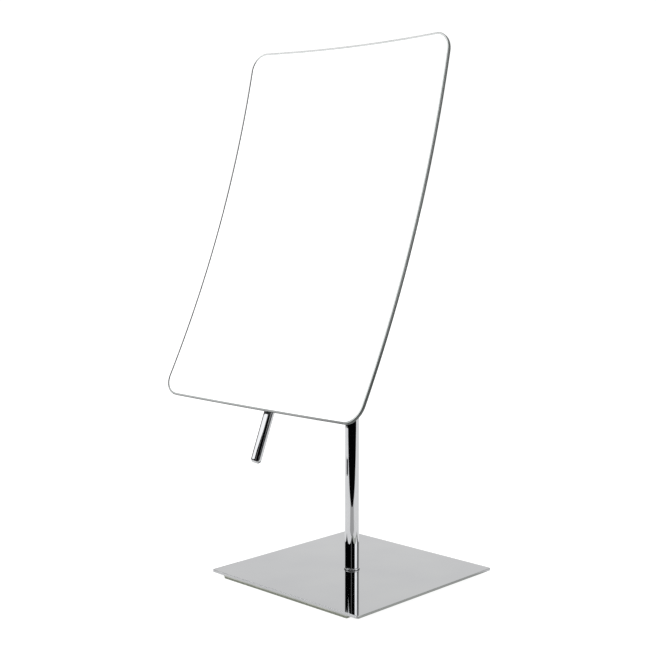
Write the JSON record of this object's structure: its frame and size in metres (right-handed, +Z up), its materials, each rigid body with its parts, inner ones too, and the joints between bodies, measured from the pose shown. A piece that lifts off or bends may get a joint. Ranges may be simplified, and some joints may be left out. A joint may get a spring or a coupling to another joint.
{
  "type": "countertop mirror",
  "caption": "Tilting and swivelling dished rectangular mirror with a short handle rod, on a slim round chromed post with a thin square base.",
  "frame": {"origin": "underside of the base pad, on the post's axis, where the stand meets the table", "axes": "+Z up along the post; the mirror faces -Y; X runs along the tilt bolt, to the right of the glass as seen from in front"},
  "size_m": [0.184, 0.1648, 0.3723],
  "materials": {
    "chrome": "bright chrome plate",
    "steel": "zinc plated",
    "mirror_glass": "silvered, with a polished edge",
    "black_back": "satin black coating",
    "nylon": "natural nylon",
    "rubber": "matte",
    "pad_foam": "matte foam rubber",
    "tape": "foam bonding tape"
  },
  "bodies": {
    "stand": {"base_plate": "chrome", "ballast_plate": "steel", "base_pad": "pad_foam", "post_screw": "steel", "post_ring": "chrome", "post_tube": "chrome", "post_foot_plug": "steel", "swivel_spigot": "chrome"},
    "swivel_head": {"swivel_washer": "nylon", "swivel_bush": "nylon", "swivel_knuckle": "chrome", "swivel_set_screw": "steel", "set_screw_tip": "nylon", "tilt_bush": "nylon"},
    "mirror_head": {"tilt_bolt": "chrome", "friction_washer_left": "nylon", "friction_washer_right": "nylon", "tilt_spring_washer": "steel", "tilt_cap_nut": "chrome", "hub_bracket": "chrome", "hub_gasket": "rubber", "hub_nut_1": "steel", "hub_nut_2": "steel", "hub_nut_3": "steel", "hub_nut_4": "steel", "mirror_glass": "mirror_glass", "back_shell": "black_back", "glass_tape_left": "tape", "glass_tape_right": "tape", "handle_foot": "steel", "handle_nut_left": "steel", "handle_nut_right": "steel", "handle_set_screw": "steel", "handle_rod": "chrome"}
  },
  "joints": [
    {"name": "swivel", "type": "hinge", "parent": "stand", "child": "swivel_head", "pos_m": [0, 0, 0.2135], "axis": [0, 0, 1], "continuous": true},
    {"name": "tilt", "type": "hinge", "parent": "swivel_head", "child": "mirror_head", "pos_m": [0, 0, 0.2332], "axis": [-1, 0, 0], "range_deg": [-28, 50]}
  ]
}
